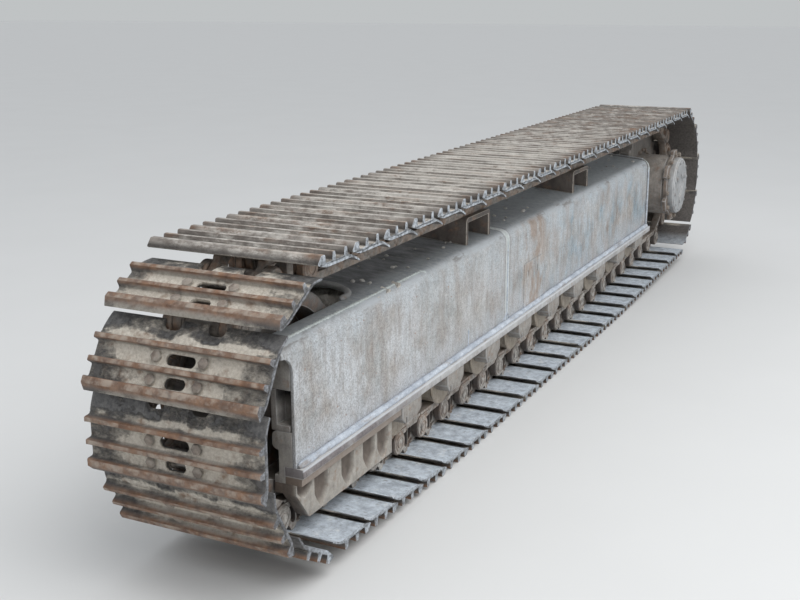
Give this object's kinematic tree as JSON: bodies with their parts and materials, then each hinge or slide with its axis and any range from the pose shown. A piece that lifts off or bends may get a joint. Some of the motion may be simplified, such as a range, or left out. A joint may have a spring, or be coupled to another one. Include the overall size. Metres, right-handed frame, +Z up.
{
  "type": "crawler track unit of a tracked jaw crusher",
  "caption": "Steel crawler track unit of a mobile jaw crusher: side frame, idler, drive sprocket, rollers and a chain with triple-bar shoes.",
  "frame": {"origin": "middle of the overall box, at the ground under the bottom shoes", "axes": "+X along the track from the idler to the sprocket, +Y across it towards the chassis, +Z up"},
  "size_m": [5.4302, 0.64, 1.0133],
  "materials": {
    "shoe_steel": "worn, brown with rust, pale dust in the valleys",
    "link_steel": "worn, rusty",
    "pin_steel": "worn, dusty",
    "frame_paint": "scraped grey paint, dusty",
    "rail_paint": "scraped grey paint, dusty",
    "idler_steel": "worn, dusty",
    "idler_mount": "dusty dark grey",
    "slide_steel": "worn grey",
    "roller_paint": "covered with pale dust",
    "collar_paint": "scraped grey",
    "guide_steel": "scraped grey, dusty",
    "skid_steel": "dark, worn on top",
    "sprocket_steel": "worn, oily dust",
    "drum_paint": "dusty grey-brown",
    "cover_paint": "light grey, dusty",
    "motor_paint": "dark grey, oily dust",
    "stub_paint": "grey, dusty"
  },
  "bodies": {
    "root": {"track_shoes": "shoe_steel", "track_links": "link_steel", "track_pins": "pin_steel", "frame_outer_plate": "frame_paint", "frame_inner_plate": "frame_paint", "frame_end_plate": "frame_paint", "frame_ribs": "frame_paint", "frame_bottom_rail_outer": "rail_paint", "frame_bottom_rail_inner": "rail_paint", "idler_wheel": "idler_steel", "idler_shaft": "idler_mount", "idler_block_outer": "idler_mount", "idler_block_inner": "idler_mount", "idler_yoke": "idler_mount", "recoil_cylinder": "idler_mount", "idler_slide_lower_outer": "slide_steel", "idler_slide_lower_inner": "slide_steel", "idler_slide_upper_outer": "slide_steel", "idler_slide_upper_inner": "slide_steel", "track_rollers": "roller_paint", "roller_collars_outer": "collar_paint", "roller_collars_inner": "collar_paint", "chain_guide_outer": "guide_steel", "chain_guide_inner": "guide_steel", "carrier_skid_1": "skid_steel", "carrier_skid_2": "skid_steel", "sprocket": "sprocket_steel", "final_drive_drum": "drum_paint", "final_drive_lug_ring": "drum_paint", "gearbox_neck": "drum_paint", "final_drive_cover": "cover_paint", "travel_motor": "motor_paint", "motor_valve_block": "motor_paint", "chassis_stub_front": "stub_paint", "chassis_stub_rear": "stub_paint", "chassis_flange_front": "stub_paint", "chassis_flange_rear": "stub_paint"}
  },
  "joints": []
}
